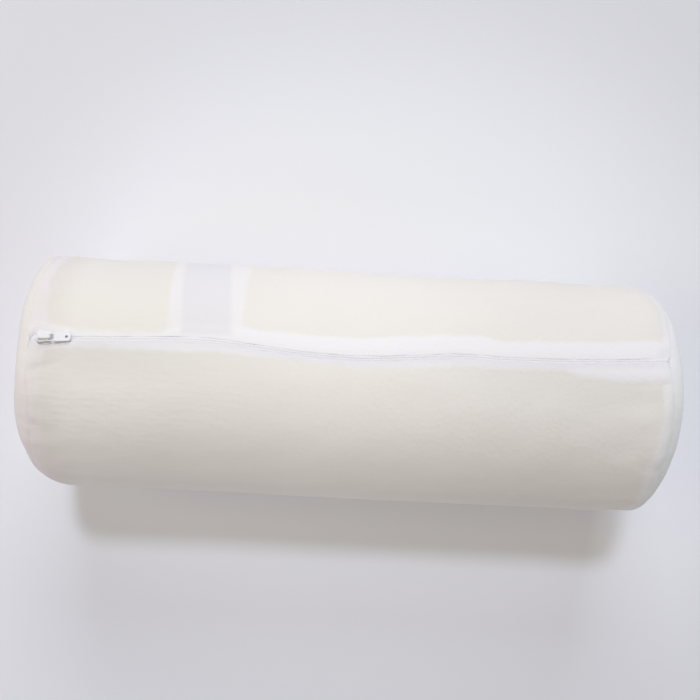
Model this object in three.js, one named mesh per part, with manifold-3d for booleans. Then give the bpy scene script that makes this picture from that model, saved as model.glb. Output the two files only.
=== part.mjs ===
// Neck roll pillow: a round foam-filled roll in a thin knit cover, with a disc sewn on each end and a
// coil zip let in lengthwise, a little behind the top. Millimetres, +Z up, X along the roll, +Y to the back.
// A turn is the angle round the roll from straight up, positive towards the back.
import * as THREE from 'three';
import { mergeVertices } from 'three/addons/utils/BufferGeometryUtils.js';
import Module from 'manifold-3d';

// Driving dimensions
const RADIUS = 75;
const RIM_X = 200; // half length, to the plane where a rounded rim meets its end disc
const CROWN = 2.5; // how far the middle of an end disc bulges past that plane
const FLAT_HALF_WIDTH = 16; // half width of the flat spot that the roll rests on
const GAP = 0.3; // between neighbouring pieces
const PANEL_THICK = 1.6; // cloth disc on each end
const SEAM_DIP = 0.6; // how far the stitching pulls the cloth in

// Each rim is rounded unevenly: along is measured back from the rim plane, inward towards the axis.
const ENDS = {
  left: {
    side: -1,
    seamX: 190.5,
    along: { top: 16, back: 7, front: 25 },
    inward: { top: 15, back: 7, front: 19 },
  },
  right: {
    side: 1,
    seamX: 193.5,
    along: { top: 18, back: 21, front: 12 },
    inward: { top: 12, back: 11, front: 25 },
  },
};

// Places where the cover is drawn in: both ends of the zip, and the cloth above the front right rim.
const DENTS = [
  { x: -188, turn: 16, depth: 0.8, reach: 12 },
  { x: 190, turn: 24, depth: 1.1, reach: 11 },
  { x: 188, turn: -98, depth: 1.6, reach: 30 },
  { x: -186, turn: -26, depth: 0.9, reach: 13 },
];

// Path of the zip: arc is the distance over the roll from its top line back to the middle of the chain.
const ZIP_PATH = [
  { x: -195, arc: 21.8 },
  { x: -163, arc: 23.2 },
  { x: -131, arc: 24.9 },
  { x: -102, arc: 26.4 },
  { x: -78, arc: 26.2 },
  { x: -56, arc: 23.9 },
  { x: -30, arc: 21.4 },
  { x: 6, arc: 20.4 },
  { x: 40, arc: 22.8 },
  { x: 65, arc: 24.8 },
  { x: 89, arc: 24.3 },
  { x: 136, arc: 25.3 },
  { x: 179, arc: 27.8 },
  { x: 195, arc: 29.4 },
];

// Section across one side of the zip opening in the cover: across from the middle of the chain, height over
// the round of the roll. The cloth is lifted by what lies under it, and its folded edge stands by the coil.
const OPENING = [
  { across: 14, height: 0 },
  { across: 9, height: 0.5 },
  { across: 4, height: 0.5 },
  { across: 2.7, height: 0.1 },
  { across: 2.7, height: -1.2 },
  { across: 6.5, height: -1.2 },
  { across: 10.9, height: -1.2 },
  { across: 10.9, height: -2.8 },
  { across: 6.5, height: -2.8 },
  { across: 3.9, height: -2.8, overPocket: true },
];
const OPENING_MIDDLE = { across: 0, height: -2.8, overPocket: true };

// Sections of one side of the zip: the tape that lies under the cover's edge, and half of the coil on it.
const ZIP_TAPE = [
  { across: 0.15, height: -2.5 },
  { across: 3.9, height: -2.5 },
  { across: 6.5, height: -2.5 },
  { across: 10.6, height: -2.5 },
  { across: 10.6, height: -1.5 },
  { across: 6.5, height: -1.5 },
  { across: 3.9, height: -1.5 },
  { across: 0.15, height: -1.5 },
];
const ZIP_COIL = [
  { across: 0.15, height: -1.2 },
  { across: 2.3, height: -1.2 },
  { across: 2.3, height: -0.2 },
  { across: 1.8, height: 0.4 },
  { across: 0.6, height: 0.4 },
  { across: 0.15, height: 0 },
];
const COIL_TOP = 0.4;

// Slider and pull, in the slider's own frame: x along the chain to the right, z out of the roll.
const SLIDER = { x: -181, length: 9, plate: 0.9, noseWidth: 6.6, tailWidth: 5.2, shoulderX: -1.8 };
const POST = { fromX: -4.1, toX: -2.1, width: 1.2 };
const BRIDGE = { fromX: -3.6, toX: 3.3, leg: 1.1, rise: 2.7, bar: 0.9, width: 1.5 };
const PULL = { length: 14.4, width: 5.2, neckWidth: 3.9, shoulder: 1.6, thick: 0.85, tiltDeg: 5 };
const PULL_EYE = { from: 1.4, to: 4.1, width: 2.4 };
const PULL_HOLE = { at: 11.6, radius: 1.1 };
const PULL_REST = 0.65; // height of its bar over the slider's plate, so that its tilt clears the tail

// The roll is hollowed a little deeper under the slider's lower plate.
const POCKET = { depth: 1.3, fromX: -186.4, toX: -175.6 };

// Left of the slider the chain is open: each side stands off the middle line.
const SPREAD = { half: 1.5, fullX: -187, zeroX: -179 };

// How finely the surfaces are divided. The zip has closer sections where it opens round the slider.
const TURNS = 56;
const STATION_STEP = 14;
const SLIDER_STATIONS = [-188, -187.2, POCKET.fromX, -183.5, -181, -178.3, POCKET.toX, -174.8, -170];
const ZIP_END_CLEAR = 1.3; // from a seam to the end of the zip opening
const RIM_STEPS = 5;
const ANCHOR_BACK = 8; // counted in steps of the ring, from the top line
const ANCHOR_FRONT = -2;
const DISC_RINGS = [0.7, 0.35];

const COLOURS = { cover: 0xf0ebe2, tape: 0xf3f1f4, coil: 0xe4e2ea, metal: 0xe9e9ec };

const FLAT_DEPTH = RADIUS - Math.sqrt(RADIUS ** 2 - FLAT_HALF_WIDTH ** 2);
const FLAT_HALF_ANGLE = Math.asin(FLAT_HALF_WIDTH / RADIUS);
const AXIS_HEIGHT = RADIUS - FLAT_DEPTH;
const STEP_TURN = (2 * Math.PI) / TURNS;
const PANEL_RECESS = PANEL_THICK + GAP;

const { clamp, degToRad, smoothstep } = THREE.MathUtils;

// The rounding of a rim at one turn, blended between its top, back and front sizes.
function rimSize(end, turn) {
  const level = Math.sin(turn) ** 2;
  const facing = Math.sin(turn) > 0 ? 'back' : 'front';
  const blend = (size) => THREE.MathUtils.lerp(size.top, size[facing], level);
  return { along: blend(end.along), inward: blend(end.inward) };
}

function dentDepth(x, turn) {
  let depth = 0;
  for (const dent of DENTS) {
    const round = RADIUS * 2 * Math.sin((turn - degToRad(dent.turn)) / 2);
    const distance = Math.hypot(x - dent.x, round) / dent.reach;
    depth += dent.depth * Math.exp(-(distance ** 2));
  }
  return depth;
}

// Radius of the roll's outer surface, or of the one that lies inset mm under it.
function surfaceRadius(x, turn, inset = 0) {
  const rim = rimSize(x < 0 ? ENDS.left : ENDS.right, turn);
  const past = clamp((Math.abs(x) - RIM_X + inset + rim.along) / rim.along, 0, 1);
  const rounding = rim.inward * (1 - Math.sqrt(1 - past ** 2));
  return RADIUS - inset - rounding - dentDepth(x, turn);
}

// A point of the part. Near the bottom the round is scaled in, so that every piece shares one flat spot.
function place(x, turn, radius) {
  const fromDown = Math.atan2(Math.sin(turn - Math.PI), Math.cos(turn - Math.PI));
  const inFlat = Math.abs(fromDown) < FLAT_HALF_ANGLE;
  const scale = inFlat ? AXIS_HEIGHT / (RADIUS * Math.cos(fromDown)) : 1;
  const out = radius * scale;
  return new THREE.Vector3(x, out * Math.sin(turn), AXIS_HEIGHT + out * Math.cos(turn));
}

// The zip's path as a smooth curve through its table.
function zipArc(x) {
  let i = 1;
  while (i < ZIP_PATH.length - 2 && x > ZIP_PATH[i + 1].x) i += 1;
  const [before, from, to] = [ZIP_PATH[i - 1], ZIP_PATH[i], ZIP_PATH[i + 1]];
  const after = ZIP_PATH[Math.min(i + 2, ZIP_PATH.length - 1)];
  if (x < from.x) return THREE.MathUtils.mapLinear(x, before.x, from.x, before.arc, from.arc);
  const span = to.x - from.x;
  const t = (x - from.x) / span;
  const slopeIn = ((to.arc - before.arc) / (to.x - before.x)) * span;
  const slopeOut = ((after.arc - from.arc) / (after.x - from.x)) * span;
  const rise = to.arc - from.arc;
  const bend = 3 * rise - 2 * slopeIn - slopeOut;
  return from.arc + t * (slopeIn + t * (bend + t * (slopeIn + slopeOut - 2 * rise)));
}

const zipSpread = (x) => SPREAD.half * (1 - smoothstep(x, SPREAD.fullX, SPREAD.zeroX));

// Turn of a point that lies across mm behind the middle of the chain. Both sides stand off by the spread.
function zipTurn(x, across) {
  return (zipArc(x) + across + Math.sign(across) * zipSpread(x)) / RADIUS;
}

// Places along the roll where both the roll and the zip have a section, so that the two stay parallel.
function zipStations() {
  const first = -ENDS.left.seamX + ZIP_END_CLEAR;
  const last = ENDS.right.seamX - ZIP_END_CLEAR;
  const stations = [first, ...SLIDER_STATIONS];
  while (stations.at(-1) + STATION_STEP < last) stations.push(stations.at(-1) + STATION_STEP);
  return [...stations, last];
}
const STATIONS = zipStations();

// Turns and heights of one section of the roll. Where open is false the zip opening is drawn shut.
function rollSection(x, open) {
  const inPocket = x >= POCKET.fromX && x <= POCKET.toX;
  const deepen = (row) => row.height - (row.overPocket && inPocket ? POCKET.depth : 0);
  const row = (entry, sign) => ({
    turn: zipTurn(x, sign * entry.across),
    height: open ? deepen(entry) : 0,
  });
  const front = OPENING.map((entry) => row(entry, -1));
  const back = OPENING.map((entry) => row(entry, 1)).reverse();
  const section = [...front, row(OPENING_MIDDLE, 1), ...back];
  const fill = (from, to, parts) => {
    for (let i = 1; i < parts; i += 1) {
      section.push({ turn: THREE.MathUtils.lerp(from, to, i / parts), height: 0 });
    }
  };
  fill(back.at(-1).turn, ANCHOR_BACK * STEP_TURN, 3);
  for (let i = ANCHOR_BACK; i <= TURNS + ANCHOR_FRONT; i += 1) {
    section.push({ turn: i * STEP_TURN, height: 0 });
  }
  fill(ANCHOR_FRONT * STEP_TURN, front[0].turn, 3);
  return section;
}

// Rings from the seam, round the rim and in over the disc, for a surface inset mm under the outer one.
function endRings(end, turns, startX, inset, dip) {
  const rings = [];
  for (let step = 0; step <= RIM_STEPS; step += 1) {
    rings.push(turns.map((turn) => {
      if (step === 0) {
        return place(end.side * startX, turn, surfaceRadius(end.side * startX, turn, inset) - dip);
      }
      const rim = rimSize(end, turn);
      const start = Math.asin(clamp((startX - RIM_X + inset + rim.along) / rim.along, 0, 1));
      const angle = THREE.MathUtils.lerp(start, Math.PI / 2, step / RIM_STEPS);
      const x = end.side * (RIM_X - inset - rim.along * (1 - Math.sin(angle)));
      const radius = RADIUS - inset - rim.inward * (1 - Math.cos(angle)) - dentDepth(x, turn);
      return place(x, turn, radius);
    }));
  }
  const rimRing = rings.at(-1);
  const centre = new THREE.Vector3(end.side * (RIM_X - inset + CROWN), 0, AXIS_HEIGHT);
  for (const share of DISC_RINGS) {
    rings.push(rimRing.map((point) => {
      const inner = centre.clone().lerp(point, share);
      inner.x = end.side * (RIM_X - inset + CROWN * (1 - share ** 2));
      return inner;
    }));
  }
  return { rings, centre };
}

// A mesh geometry from points and triangles, with shared corners merged.
function geometryOf(points, triangles) {
  const geometry = new THREE.BufferGeometry().setFromPoints(points);
  geometry.setIndex(triangles.flat());
  const merged = mergeVertices(geometry, 1e-4);
  merged.computeVertexNormals();
  return merged;
}

// Triangles of the bands between neighbouring rings, each of which runs round by increasing turn.
function bandTriangles(ringCount, size) {
  const triangles = [];
  for (let i = 0; i + 1 < ringCount; i += 1) {
    for (let j = 0; j < size; j += 1) {
      const [a, b] = [i * size + j, i * size + ((j + 1) % size)];
      triangles.push([a, a + size, b], [b, a + size, b + size]);
    }
  }
  return triangles;
}

// A closed solid through rings given from left to right, with a fan of faces at each end.
function loft(rings, leftCentre, rightCentre) {
  const size = rings[0].length;
  const points = [...rings.flat(), leftCentre, rightCentre];
  const [left, right] = [points.length - 2, points.length - 1];
  const triangles = bandTriangles(rings.length, size);
  const lastStart = (rings.length - 1) * size;
  for (let j = 0; j < size; j += 1) {
    const next = (j + 1) % size;
    triangles.push([left, j, next], [right, lastStart + next, lastStart + j]);
  }
  return geometryOf(points, triangles);
}

function rollGeometry() {
  const sectionRing = (x, open, dip = 0) =>
    rollSection(x, open).map(({ turn, height }) =>
      place(x, turn, surfaceRadius(x, turn) + height - dip));
  const seamRing = (end) => sectionRing(end.side * end.seamX, false, SEAM_DIP);
  const turnsAt = (x) => rollSection(x, false).map(({ turn }) => turn);
  const { left, right } = ENDS;
  const leftEnd = endRings(left, turnsAt(-left.seamX), left.seamX, PANEL_RECESS, 0);
  const rightEnd = endRings(right, turnsAt(right.seamX), right.seamX, PANEL_RECESS, 0);
  const body = [
    seamRing(left),
    sectionRing(STATIONS[0] - GAP, false),
    ...STATIONS.map((x) => sectionRing(x, true)),
    sectionRing(STATIONS.at(-1) + GAP, false),
    seamRing(right),
  ];
  const rings = [...leftEnd.rings.reverse(), ...body, ...rightEnd.rings];
  return loft(rings, leftEnd.centre, rightEnd.centre);
}

// A cloth disc that wraps the rim as far as the seam.
function endPanelGeometry(end) {
  const turns = Array.from({ length: TURNS }, (_, i) => i * STEP_TURN);
  const startX = end.seamX + GAP;
  const inner = endRings(end, turns, startX, PANEL_THICK, 0);
  const outer = endRings(end, turns, startX, 0, SEAM_DIP);
  const rings = [...inner.rings.reverse(), ...outer.rings];
  if (end.side < 0) return loft(rings.reverse(), outer.centre, inner.centre);
  return loft(rings, inner.centre, outer.centre);
}

// A strip of the zip, swept along its path. The sign is 1 for the back side and -1 for the front one.
function zipStripGeometry(section, sign) {
  const profile = section.map(({ across, height }) => new THREE.Vector2(across, height));
  if (sign > 0) profile.reverse();
  const stations = [...STATIONS];
  stations[0] += GAP;
  stations[stations.length - 1] -= GAP;
  const points = stations.flatMap((x) =>
    profile.map((corner) => {
      const turn = zipTurn(x, sign * corner.x);
      return place(x, turn, surfaceRadius(x, turn) + corner.y);
    }));
  const triangles = bandTriangles(stations.length, profile.length);
  const lastStart = (stations.length - 1) * profile.length;
  for (const [a, b, c] of THREE.ShapeUtils.triangulateShape(profile, [])) {
    const near = sign > 0 ? [c, b, a] : [a, b, c];
    triangles.push(near, near.map((index) => lastStart + index).reverse());
  }
  return geometryOf(points, triangles);
}

// Joins closed geometries into one solid.
const wasm = await Module();
wasm.setup();
function join(geometries) {
  const solids = geometries.map((source) => {
    const bare = source.clone();
    bare.deleteAttribute('normal');
    bare.deleteAttribute('uv');
    const merged = mergeVertices(bare, 1e-4);
    return new wasm.Manifold(new wasm.Mesh({
      numProp: 3,
      vertProperties: merged.attributes.position.array,
      triVerts: new Uint32Array(merged.index.array),
    }));
  });
  const whole = solids.reduce((sum, solid) => sum.add(solid)).getMesh();
  const geometry = new THREE.BufferGeometry();
  geometry.setAttribute('position', new THREE.BufferAttribute(whole.vertProperties, 3));
  geometry.setIndex(new THREE.BufferAttribute(whole.triVerts, 1));
  geometry.computeVertexNormals();
  return geometry;
}

function extrude(shape, depth) {
  return new THREE.ExtrudeGeometry(shape, { depth, bevelEnabled: false, curveSegments: 4 });
}

// A plate of the slider: wide at its nose, on the left, and narrower at its tail.
function sliderPlate(shrink) {
  const [nose, tail] = [SLIDER.noseWidth / 2 - shrink, SLIDER.tailWidth / 2 - shrink];
  const half = SLIDER.length / 2 - shrink;
  const shape = new THREE.Shape();
  shape.moveTo(-half, -nose / 2);
  shape.quadraticCurveTo(-half, -nose, SLIDER.shoulderX, -nose);
  shape.lineTo(half, -tail);
  shape.lineTo(half, tail);
  shape.lineTo(SLIDER.shoulderX, nose);
  shape.quadraticCurveTo(-half, nose, -half, nose / 2);
  shape.closePath();
  return extrude(shape, SLIDER.plate);
}

const PLATE_BOTTOM = COIL_TOP + GAP;
const PLATE_TOP = PLATE_BOTTOM + SLIDER.plate;
const LOWER_PLATE_TOP = ZIP_TAPE[0].height - GAP;

// Two plates, a post between them at the nose, and a bridge on top that holds the pull.
function sliderGeometry() {
  const upper = sliderPlate(0).translate(0, 0, PLATE_BOTTOM);
  const lower = sliderPlate(0.3).translate(0, 0, LOWER_PLATE_TOP - SLIDER.plate);
  const sink = SLIDER.plate / 2; // how far the post and the bridge reach into a plate
  const postHeight = PLATE_BOTTOM - LOWER_PLATE_TOP + 2 * sink;
  const post = new THREE.BoxGeometry(POST.toX - POST.fromX, POST.width, postHeight);
  post.translate((POST.fromX + POST.toX) / 2, 0, (PLATE_BOTTOM + LOWER_PLATE_TOP) / 2);
  const top = BRIDGE.rise;
  const underside = BRIDGE.rise - BRIDGE.bar;
  const side = new THREE.Shape();
  side.moveTo(BRIDGE.fromX, -sink);
  side.lineTo(BRIDGE.fromX + BRIDGE.leg, -sink);
  side.lineTo(BRIDGE.fromX + BRIDGE.leg, underside);
  side.lineTo(BRIDGE.toX - BRIDGE.leg, underside);
  side.lineTo(BRIDGE.toX - BRIDGE.leg, -sink);
  side.lineTo(BRIDGE.toX, -sink);
  side.quadraticCurveTo(BRIDGE.toX, top, BRIDGE.toX - 2 * BRIDGE.leg, top);
  side.lineTo(BRIDGE.fromX + 2 * BRIDGE.leg, top);
  side.quadraticCurveTo(BRIDGE.fromX, top, BRIDGE.fromX, -sink);
  const bridge = extrude(side, BRIDGE.width).rotateX(Math.PI / 2);
  bridge.translate(0, BRIDGE.width / 2, PLATE_TOP);
  return join([upper, post, lower, bridge]);
}

// A flat plate from its bar, at x 0, to its round far end, with an eye for the bridge and a small hole.
function pullGeometry() {
  const half = PULL.width / 2;
  const neck = PULL.neckWidth / 2;
  const shape = new THREE.Shape();
  shape.moveTo(0, -neck);
  shape.lineTo(PULL_EYE.to, -neck);
  shape.lineTo(PULL_EYE.to + PULL.shoulder, -half);
  shape.lineTo(PULL.length - half, -half);
  shape.quadraticCurveTo(PULL.length, -half, PULL.length, 0);
  shape.quadraticCurveTo(PULL.length, half, PULL.length - half, half);
  shape.lineTo(PULL_EYE.to + PULL.shoulder, half);
  shape.lineTo(PULL_EYE.to, neck);
  shape.lineTo(0, neck);
  shape.closePath();
  const eye = new THREE.Path();
  eye.moveTo(PULL_EYE.from, -PULL_EYE.width / 2);
  eye.lineTo(PULL_EYE.from, PULL_EYE.width / 2);
  eye.lineTo(PULL_EYE.to, PULL_EYE.width / 2);
  eye.lineTo(PULL_EYE.to, -PULL_EYE.width / 2);
  eye.closePath();
  const hole = new THREE.Path();
  hole.absarc(PULL_HOLE.at, 0, PULL_HOLE.radius, 0, 2 * Math.PI, true);
  shape.holes.push(eye, hole);
  return extrude(shape, PULL.thick);
}

function named(name, geometry, color, roughness, metalness = 0) {
  const material = new THREE.MeshStandardMaterial({ color, roughness, metalness });
  const mesh = new THREE.Mesh(geometry, material);
  mesh.name = name;
  return mesh;
}

const pillow = new THREE.Group();
pillow.add(
  named('roll', rollGeometry(), COLOURS.cover, 0.95),
  named('end_panel_left', endPanelGeometry(ENDS.left), COLOURS.cover, 0.95),
  named('end_panel_right', endPanelGeometry(ENDS.right), COLOURS.cover, 0.95),
);
for (const { side, sign } of [{ side: 'back', sign: 1 }, { side: 'front', sign: -1 }]) {
  pillow.add(
    named('zip_tape_' + side, zipStripGeometry(ZIP_TAPE, sign), COLOURS.tape, 0.9),
    named('zip_coil_' + side, zipStripGeometry(ZIP_COIL, sign), COLOURS.coil, 0.6),
  );
}

// The slider's frame stands on the chain, square to the roll and in line with the zip and its slope.
const [noseX, tailX] = [-1, 1].map((sign) => SLIDER.x + (sign * SLIDER.length) / 2);
const [noseRadius, tailRadius] = [noseX, tailX].map((x) => surfaceRadius(x, zipTurn(x, 0)));
const sliderTurn = zipTurn(SLIDER.x, 0);
const sliderFrame = new THREE.Group();
sliderFrame.position.copy(place(SLIDER.x, sliderTurn, (noseRadius + tailRadius) / 2));
sliderFrame.rotation.x = -sliderTurn;
const chainLine = new THREE.Group();
chainLine.rotation.order = 'ZYX';
chainLine.rotation.z = Math.atan((zipArc(tailX) - zipArc(noseX)) / SLIDER.length);
chainLine.rotation.y = -Math.atan((tailRadius - noseRadius) / SLIDER.length);
sliderFrame.add(chainLine);

const pull = named('zip_pull', pullGeometry(), COLOURS.metal, 0.45, 0.3);
pull.position.set(BRIDGE.toX - BRIDGE.leg - PULL_EYE.from - GAP, 0, PLATE_TOP + PULL_REST);
pull.rotation.y = degToRad(PULL.tiltDeg);
chainLine.add(named('zip_slider', sliderGeometry(), COLOURS.metal, 0.45, 0.3), pull);
pillow.add(sliderFrame);

export default pillow;
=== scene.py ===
import math

import bpy
import numpy as np
from mathutils import Matrix, Vector
from mathutils.geometry import tessellate_polygon


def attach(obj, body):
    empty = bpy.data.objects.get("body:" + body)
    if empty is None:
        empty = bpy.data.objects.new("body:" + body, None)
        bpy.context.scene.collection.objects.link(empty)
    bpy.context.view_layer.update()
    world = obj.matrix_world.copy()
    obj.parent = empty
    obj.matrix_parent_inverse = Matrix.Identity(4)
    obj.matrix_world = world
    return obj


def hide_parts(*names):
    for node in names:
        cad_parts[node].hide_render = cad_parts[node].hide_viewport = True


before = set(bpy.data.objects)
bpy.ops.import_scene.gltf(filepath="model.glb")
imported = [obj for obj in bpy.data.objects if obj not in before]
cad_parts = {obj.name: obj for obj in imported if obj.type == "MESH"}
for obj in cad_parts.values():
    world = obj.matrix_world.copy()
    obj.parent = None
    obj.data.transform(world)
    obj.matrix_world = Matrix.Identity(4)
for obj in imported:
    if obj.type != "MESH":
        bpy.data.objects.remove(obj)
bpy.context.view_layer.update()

# The looks of a neck roll pillow: a foam roll in a thin knit cover, with a cloth disc sewn on each end and
# a coil zip let in a little behind the top. Shapes are worked out in millimetres, +Z up, X along the roll
# and +Y to the back, and become metres when a mesh is made. A turn is the angle round the roll from
# straight up, positive towards the back, in degrees in the tables and in radians in the functions. The
# sizes down to SPREAD are those of the part's own solids.
MM = 0.001
BODY = "root"


def table(names, *rows):
    """A short table as one dictionary for each row, with the names of its columns given once."""
    return [dict(zip(names.split(), row)) for row in rows]


RADIUS = 75
RIM_X = 200  # half length, to the plane where a rounded rim meets its end disc
CROWN = 2.5  # how far the middle of an end disc bulges past that plane
FLAT_HALF_WIDTH = 16  # half width of the flat spot that the roll rests on

# Each rim is rounded unevenly: along is measured back from the rim plane, inward towards the axis.
LEFT = {
    "side": -1, "seam_x": 190.5,
    "along": {"top": 16, "back": 7, "front": 25},
    "inward": {"top": 15, "back": 7, "front": 19},
}
RIGHT = {
    "side": 1, "seam_x": 193.5,
    "along": {"top": 18, "back": 21, "front": 12},
    "inward": {"top": 12, "back": 11, "front": 25},
}
ENDS = (LEFT, RIGHT)

# Places where the cover is drawn in: at both ends of the zip, and at the front of each rim.
DENTS = table(
    "x turn depth reach",
    (-188, 16, 0.8, 12), (190, 24, 1.1, 11), (188, -98, 1.6, 30), (-186, -26, 0.9, 13),
)

# Path of the zip: arc is the distance over the roll from its top line back to the middle of the chain.
ZIP_PATH = table(
    "x arc",
    (-195, 21.8), (-163, 23.2), (-131, 24.9), (-102, 26.4), (-78, 26.2), (-56, 23.9), (-30, 21.4),
    (6, 20.4), (40, 22.8), (65, 24.8), (89, 24.3), (136, 25.3), (179, 27.8), (195, 29.4),
)
SPREAD = {"half": 1.5, "full_x": -187, "zero_x": -179}  # the open chain, left of the slider
ZIP_SHIFT = -1.7  # seen closely, the whole zip lies this much nearer the front than its solids

# Left of its plain stretch the chain sways to the back under the slider, and its open end back again.
SWAY = table(
    "x across",
    (-191, -0.7), (-189.9, -0.6), (-187, 2.0), (-184.8, 1.35), (-178, 1.35), (-173, 0.0),
)
SWAY_FADES = (3, 18)  # across the zip, the sway is whole up to here and gone this far out

# The seams aren't straight rings. Where a row has a positive shift, the seam runs nearer the rim.
SEAM_SHIFTS = {
    -1: table("turn reach shift", (40, 16, 2.0), (-13, 12, -0.9), (-60, 20, 1.4)),
    1: table("turn reach shift", (50, 18, 1.9), (19, 8, -2.8), (-12, 14, 1.4), (-34, 8, -2.2)),
}
SEAM_SHIFT_FADES = (8, 42)  # the shift is whole this near the seam, and gone this far from it

# Where an end cloth is pushed out past its rim plane
END_BULGES = {
    -1: table("turn reach out", (-24, 15, 1.4), (34, 20, 0.7)),
    1: table("turn reach out", (0, 48, 1.9)),
}

# Widths of the doubled cloth on each side of the zip, where it lies under the cover and shows through.
ALLOWANCE = table(
    "x back front",
    (-191, 10.0, 5.3), (-173, 7.7, 4.9), (-161, 4.3, 4.6), (-137, 3.6, 5.9), (-114, 3.9, 7.5),
    (-100, 8.3, 7.9), (-61, 10.6, 5.5), (-37, 11.1, 4.7), (6, 12.1, 5.0), (28, 13.2, 6.5),
    (76, 13.3, 6.3), (90, 10.7, 5.9), (126, 11.9, 5.3), (139, 12.3, 9.3), (160, 12.5, 11.8),
    (191, 12.7, 13.8),
)
# Its thickness lifts the cover. It is at least this wide there, and ends softly on both sides of its edge.
DOUBLED = {"least": 4.5, "inside": 1.6, "outside": 1.8}

# Doubled cloth along each seam, on the cover's side: its width there, and how plainly it shows through.
STRIPS = {
    -1: table(
        "turn width shows",
        (-180, 9, 0.15), (-40, 9, 0.15), (4, 9, 0.25), (14, 11, 0.6), (26, 11.5, 0.6),
        (36, 9, 0.5), (50, 6, 0.7), (70, 6, 0.8), (120, 9, 0.6), (180, 9, 0.15),
    ),
    1: table(
        "turn width shows",
        (-180, 10, 0.3), (-50, 11, 0.8), (-31, 10, 0.8), (-11, 9.5, 0.75), (8, 7, 0.6),
        (16, 5, 0.8), (38, 5, 0.8), (60, 5, 0.7), (120, 9, 0.4), (180, 10, 0.3),
    ),
}
STRIP_SOFT = 1.5  # half width of a strip's soft edge

# The same doubled cloth on the end cloths' side of each seam
END_STRIPS = {-1: {"width": 6, "shows": 0.1}, 1: {"width": 12, "shows": 0.85}}
END_STRIP_SOFT = 3

# In front of the zip the cloth hangs a little clear of the foam, most of all towards the left end. Where it
# hangs loose, the cover's colour also gets painted shade.
LOOSE = table(
    "x share",
    (-190, 0.0), (-184, 1.0), (-150, 0.9), (-110, 0.6), (-60, 0.25), (-20, 0.0), (40, 0.0),
    (80, 0.45), (186, 0.5), (193, 0.0),
)
LOOSE_STARTS = (-4, 3)  # mm over the roll, from the edge of the doubled cloth
LOOSE_ENDS = (4, 27)
LOOSE_DIP = 0.8

# A plain ribbon sewn in at the zip, seen through the cover. Each edge is given by its place along the
# roll at the ribbon's start and by its lean, the mm of x for each mm over the roll.
RIBBON = {
    "from_turn": 22,
    "to_turn": 96,
    "left": {"x": -110.0, "lean": -0.065},
    "middle_left": {"x": -101.0, "lean": -0.11},
    "middle_right": {"x": -71.8, "lean": -0.11},
    "right": {"x": -65.7, "lean": -0.015},
}

# Soft creases: from and to are (x, turn) on the cover. Most of the depth is gone at the far end.
CREASES = table(
    "from to depth reach",
    ((-189.5, 0.3), (-170, 6.5), 0.8, 2.4),
    ((-189.5, -4), (-178, -1), 0.35, 2.2),
    ((-189.4, -24.5), (-181, -27), 0.9, 4.0),
    ((-189, -38), (-176, -36), 0.4, 3.0),
    ((191, 10), (170, 8.6), 0.5, 2.4),
    ((190, 34), (178, 32.4), 0.4, 2.6),
    ((190, -33), (177, -30), 0.7, 3.6),
    ((191, 21), (183, 20.5), 1.3, 4.6),
)
CREASE_FADE = 0.75

# Uneven fields: how high, and between which lengths their waves run
WAVES = table(
    "name seed size longest shortest",
    ("broad", 5, 0.3, 160, 55),
    ("short", 6, 1, 40, 14),
    ("seam_line", 11, 0.25, 120, 30),
    ("gathers", 31, 1, 16, 6),
    ("slow_gathers", 41, 0.6, 40, 18),
    ("allowance", 71, 0.3, 40, 10),
    ("lip", 74, 0.1, 25, 6),
    ("bed", 78, 0.06, 40, 10),
    ("strip", 81, 0.5, 40, 12),
    ("end_rim", 91, 0.25, 60, 22),
    ("end_disc", 95, 0.5, 130, 45),
)
WAVE_COUNT = 30

# Short swells are higher near the seams, and there are none at the zip.
SWELL = {"plain": 0.05, "at_seam": 0.12, "seam_reach": 30, "clear_of_zip": (7, 26)}
SEAM_CLEAR = 4  # creases and swells fade out this near a seam, where two cloths meet
SEAM_DIP = {"depth": 0.32, "reach": 1.1}  # soft groove where the cloths turn down into a seam
SEAM_PUFF = {"rise": 0.12, "at": 4.5}
PUCKER = {"rise": 0.1, "reach": 7}
CLOTH_THICK = 1.2
RECESS = 1.9  # depth of the foam under an end cloth

# The opening for the zip. Each side's lip, the folded edge of the cover, gives way to the slider.
LIP_AT = {"back": 1.45, "front": 1.6}
LIPS = table(
    "x back front",
    (-191, 0.2, 0.2), (-190, 0.3, 0.3), (-189, 1.3, 1.3), (-188, 1.7, 1.7), (-187, 1.7, 1.7),
    (-186.2, 2.2, 2.1), (-185.2, 3.4, 3.2), (-183, 3.6, 4.6), (-179.5, 3.1, 5.0),
    (-176.6, 2.7, 4.3), (-174, 1.9, 3.2), (-170, LIP_AT["back"], 2.2),
    (-166, LIP_AT["back"], LIP_AT["front"]), (186, LIP_AT["back"], LIP_AT["front"]),
    (190, 1.0, 0.9), (192, 0.3, 0.3),
)
LIP_RISE = {"back": 0.56, "front": 0.4}
LIP_ROLL = 0.1  # radius of the folded edge
LIP_STEPS = 9
LIP_UNDER = 0.23  # from the folded edge's top to the cloth turned under it
# The cloth falls to its edges: more where the slider pushes the front one, and at the open left end.
LIP_SLOPE = {"back": 0.25, "front": 0.0, "pushed": 0.65, "full_push": 1.3, "left_end": 0.95, "reach": 2.5}
OPENS = (0.3, 1.5)  # the opening starts between these distances from each end seam
POCKET_WALL = 10.9
POCKET_FLOOR = -2.0
END_POCKET = {"floor": -0.9, "from_x": -184.4, "to_x": -186.2}  # shallower left of the slider
POCKET_LEAST = 0.1
TAPE = {"inner": 0.12, "outer": 10.5, "bottom": -1.5, "top": -0.7}
TAPE_LEAN = -0.04  # its fall for each mm across
ZIP_END_CLEAR = {"left": 4.2, "right": 0.8}
STRIP_STATIONS = 240  # cross-sections along a tape or a cord
TAPE_FLATS, CORD_FLATS = (2, 4, 6, 8), (0.8, 1.4)  # places across with more points

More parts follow.
